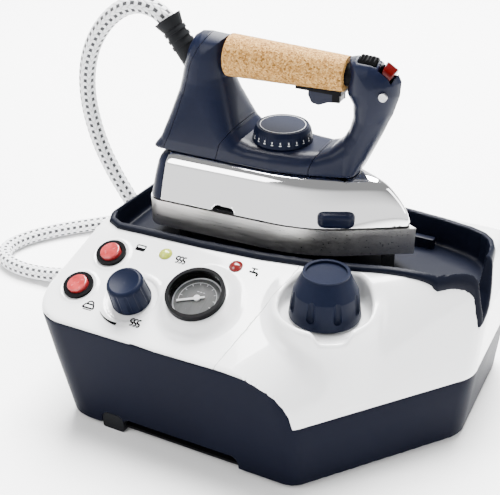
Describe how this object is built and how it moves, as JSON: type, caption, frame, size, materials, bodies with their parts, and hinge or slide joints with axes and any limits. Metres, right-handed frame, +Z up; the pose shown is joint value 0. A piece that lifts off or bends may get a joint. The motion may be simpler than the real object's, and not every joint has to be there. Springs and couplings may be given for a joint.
{
  "type": "steam generator iron",
  "caption": "Boiler base with sloping control panel and parking tray, holding a steam iron with a cork grip that is joined to the base by a braided steam hose.",
  "frame": {"origin": "middle of the base on the surface it stands on", "axes": "+X along the iron towards its tip, +Y from the control panel to the back, +Z up"},
  "size_m": [0.5242, 0.4297, 0.3085],
  "materials": {
    "navy_plastic": "satin dark navy",
    "tray_plastic": "satin dark navy",
    "knob_plastic": "satin dark navy",
    "black_plastic": "satin black",
    "rubber": "matte black",
    "white_plastic": "glossy white",
    "tank_steel": "rolled",
    "brass": "machined",
    "circuit_board": "green laminate",
    "red_lens": "translucent red",
    "green_lens": "translucent yellow-green",
    "red_lamp": "translucent red",
    "gauge_face": "grey printed dial",
    "needle_paint": "white",
    "clear_lens": "clear",
    "screw_steel": "plated",
    "sole_steel": "brushed",
    "cast_metal": "as cast",
    "chrome": "mirror",
    "cork": "fine cork granules",
    "red_plastic": "glossy red",
    "hose_braid": "white textile braid with grey marks"
  },
  "bodies": {
    "base": {"lower_shell": "navy_plastic", "bottom_plate": "black_plastic", "feet": "rubber", "control_panel": "white_plastic", "upper_shell": "white_plastic", "iron_tray": "tray_plastic", "tray_rest_pads": "rubber", "boiler_tank": "tank_steel", "filler_neck": "brass", "boiler_heater": "tank_steel", "steam_valve": "brass", "steam_pipe": "brass", "pressure_switch": "black_plastic", "control_board": "circuit_board", "boiler_switch_frame": "black_plastic", "iron_switch_frame": "black_plastic", "ready_lamp": "green_lens", "water_lamp": "red_lamp", "steam_regulator": "brass", "gauge_case": "black_plastic", "gauge_bezel": "black_plastic", "gauge_dial": "gauge_face", "gauge_lens": "clear_lens", "gauge_tube": "brass", "hose_gland": "black_plastic", "mains_gland": "black_plastic", "case_screws": "screw_steel", "hose_from_iron": "hose_braid", "hose_coil": "hose_braid", "hose_to_base": "hose_braid"},
    "iron": {"soleplate": "sole_steel", "sole_heater": "cast_metal", "chamber_lid": "cast_metal", "sole_gasket": "rubber", "chrome_cover": "chrome", "heel_plate": "navy_plastic", "side_block": "black_plastic", "handle_back_cover": "navy_plastic", "handle_rear": "navy_plastic", "handle_deck": "navy_plastic", "handle_front": "navy_plastic", "cork_grip": "cork", "grip_core": "black_plastic", "trigger_seat": "black_plastic", "trigger_spring": "screw_steel", "microswitch": "black_plastic", "thermostat": "cast_metal", "bend_protector": "rubber", "steam_tube": "rubber", "handle_screw": "screw_steel"},
    "boiler_rocker": {"boiler_switch_rocker": "red_lens"},
    "iron_rocker": {"iron_switch_rocker": "red_lens"},
    "steam_knob": {"steam_knob": "knob_plastic"},
    "gauge_needle": {"gauge_needle": "needle_paint"},
    "cap_plug": {"cap_plug": "brass"},
    "cap": {"boiler_cap": "knob_plastic"},
    "trigger": {"trigger": "navy_plastic"},
    "dial": {"thermostat_dial": "knob_plastic"},
    "steam_button": {"steam_button": "black_plastic"},
    "lock_slider": {"lock_slider": "red_plastic"}
  },
  "joints": [
    {"name": "iron_lift", "type": "slide", "parent": "base", "child": "iron", "axis": [0, 0, 1], "range_m": [0, 0.08], "deforming": ["hose_from_iron"]},
    {"name": "boiler_switch_rock", "type": "hinge", "parent": "base", "child": "boiler_rocker", "pos_m": [-0.129, -0.058, 0.12344], "axis": [0, 0.9205, 0.3907], "range_deg": [0, 12]},
    {"name": "iron_switch_rock", "type": "hinge", "parent": "base", "child": "iron_rocker", "pos_m": [-0.139, -0.092, 0.10901], "axis": [0, 0.9205, 0.3907], "range_deg": [0, 12]},
    {"name": "steam_knob_turn", "type": "hinge", "parent": "base", "child": "steam_knob", "pos_m": [-0.0905, -0.09, 0.10986], "axis": [0, -0.3907, 0.9205], "range_deg": [0, 270]},
    {"name": "gauge_needle_swing", "type": "hinge", "parent": "base", "child": "gauge_needle", "pos_m": [-0.037, -0.08084, 0.12026], "axis": [0, -0.3907, 0.9205], "range_deg": [-230, 0], "stiffness_Nm_per_rad": 0.0002},
    {"name": "cap_rise", "type": "slide", "parent": "base", "child": "cap_plug", "axis": [0, 0, 1], "range_m": [0, 0.009]},
    {"name": "cap_turn", "type": "hinge", "parent": "cap_plug", "child": "cap", "pos_m": [0.057, -0.053, 0.13], "axis": [0, 0, 1], "range_deg": [0, 1080]},
    {"name": "trigger_pull", "type": "hinge", "parent": "iron", "child": "trigger", "pos_m": [0.025, 0.038, 0.2525], "axis": [0, 1, 0], "range_deg": [0, 4], "stiffness_Nm_per_rad": 0.05, "deforming": ["trigger_spring"]},
    {"name": "dial_turn", "type": "hinge", "parent": "iron", "child": "dial", "pos_m": [-0.0215, 0.038, 0.2], "axis": [0, 0, 1], "range_deg": [-270, 0]},
    {"name": "steam_button_press", "type": "slide", "parent": "iron", "child": "steam_button", "axis": [0, 0, -1], "range_m": [0, 0.002], "stiffness_N_per_m": 400},
    {"name": "lock_slide", "type": "slide", "parent": "iron", "child": "lock_slider", "axis": [-1, 0, 0], "range_m": [0, 0.0026]}
  ],
  "couplings": [
    {"joint": "cap_turn", "follows": "cap_rise", "rad_per_m": 2094.4}
  ]
}
